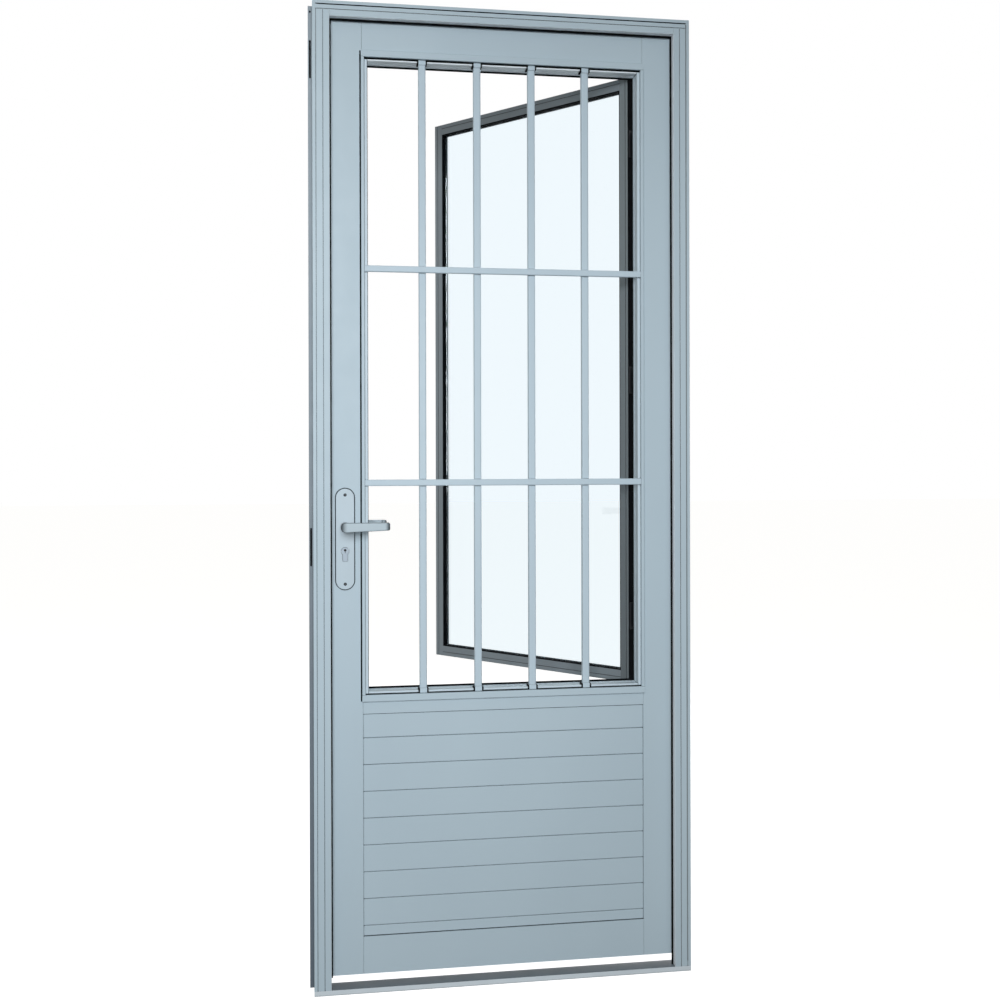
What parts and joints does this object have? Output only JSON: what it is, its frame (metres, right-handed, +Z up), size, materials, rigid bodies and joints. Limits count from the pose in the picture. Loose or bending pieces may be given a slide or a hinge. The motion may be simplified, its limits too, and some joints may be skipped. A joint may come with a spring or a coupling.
{
  "type": "aluminium entrance door",
  "caption": "Hinged entrance door in its frame, with a barred upper window, a glazed inner sash standing open behind it, a boarded lower panel and a lever handle.",
  "frame": {"origin": "middle of the threshold's underside, in the middle of the frame's depth", "axes": "+X along the width, to the right as seen from outside; +Y from outside to inside; +Z upwards"},
  "size_m": [0.841, 0.5831, 2.1],
  "materials": {
    "door_paint": "satin powder coat, blue grey",
    "threshold_paint": "satin powder coat, blue grey",
    "sash_paint": "satin, dark grey",
    "handle_paint": "satin, light grey",
    "lock_metal": "brushed",
    "gasket": "matt black",
    "glass": "clear float glass, pale blue"
  },
  "bodies": {
    "frame": {"left_jamb": "door_paint", "right_jamb": "door_paint", "head": "door_paint", "threshold": "threshold_paint", "frame_gasket": "gasket", "strike_plate": "lock_metal", "frame_hinge_halves": "door_paint"},
    "leaf": {"lock_stile": "door_paint", "hinge_stile": "door_paint", "top_rail": "door_paint", "mid_rail": "door_paint", "bottom_rail": "door_paint", "board_1": "door_paint", "board_2": "door_paint", "board_3": "door_paint", "board_4": "door_paint", "board_5": "door_paint", "board_6": "door_paint", "board_7": "door_paint", "board_8": "door_paint", "board_9": "door_paint", "bead_left": "door_paint", "bead_right": "door_paint", "bead_top": "door_paint", "bead_bottom": "door_paint", "lining_left": "door_paint", "lining_right": "door_paint", "lining_top": "door_paint", "lining_bottom": "door_paint", "window_gasket": "gasket", "grille_bars": "door_paint", "grille_rails": "door_paint", "outside_plate": "handle_paint", "inside_plate": "handle_paint", "lock_cylinder": "lock_metal", "lock_faceplate": "lock_metal", "leaf_hinge_halves": "door_paint", "sash_free_stile": "sash_paint", "sash_hinge_stile": "sash_paint", "sash_top_rail": "sash_paint", "sash_bottom_rail": "sash_paint", "sash_glass": "glass", "sash_gasket": "gasket", "sash_edge_seal": "gasket", "plate_seals": "gasket", "sash_hinges": "sash_paint", "sash_latch": "sash_paint"},
    "lever": {"outside_lever": "handle_paint", "inside_lever": "handle_paint", "spindle": "lock_metal"}
  },
  "joints": [
    {"name": "leaf_swing", "type": "hinge", "parent": "frame", "child": "leaf", "pos_m": [0.38835, 0.0353, 1.053], "axis": [0, 0, -1], "range_deg": [0, 100]},
    {"name": "lever_turn", "type": "hinge", "parent": "leaf", "child": "lever", "pos_m": [-0.3445, 0, 0.9882], "axis": [0, 1, 0], "range_deg": [0, 40], "stiffness_Nm_per_rad": 0.8, "springref_deg": -28.65}
  ]
}
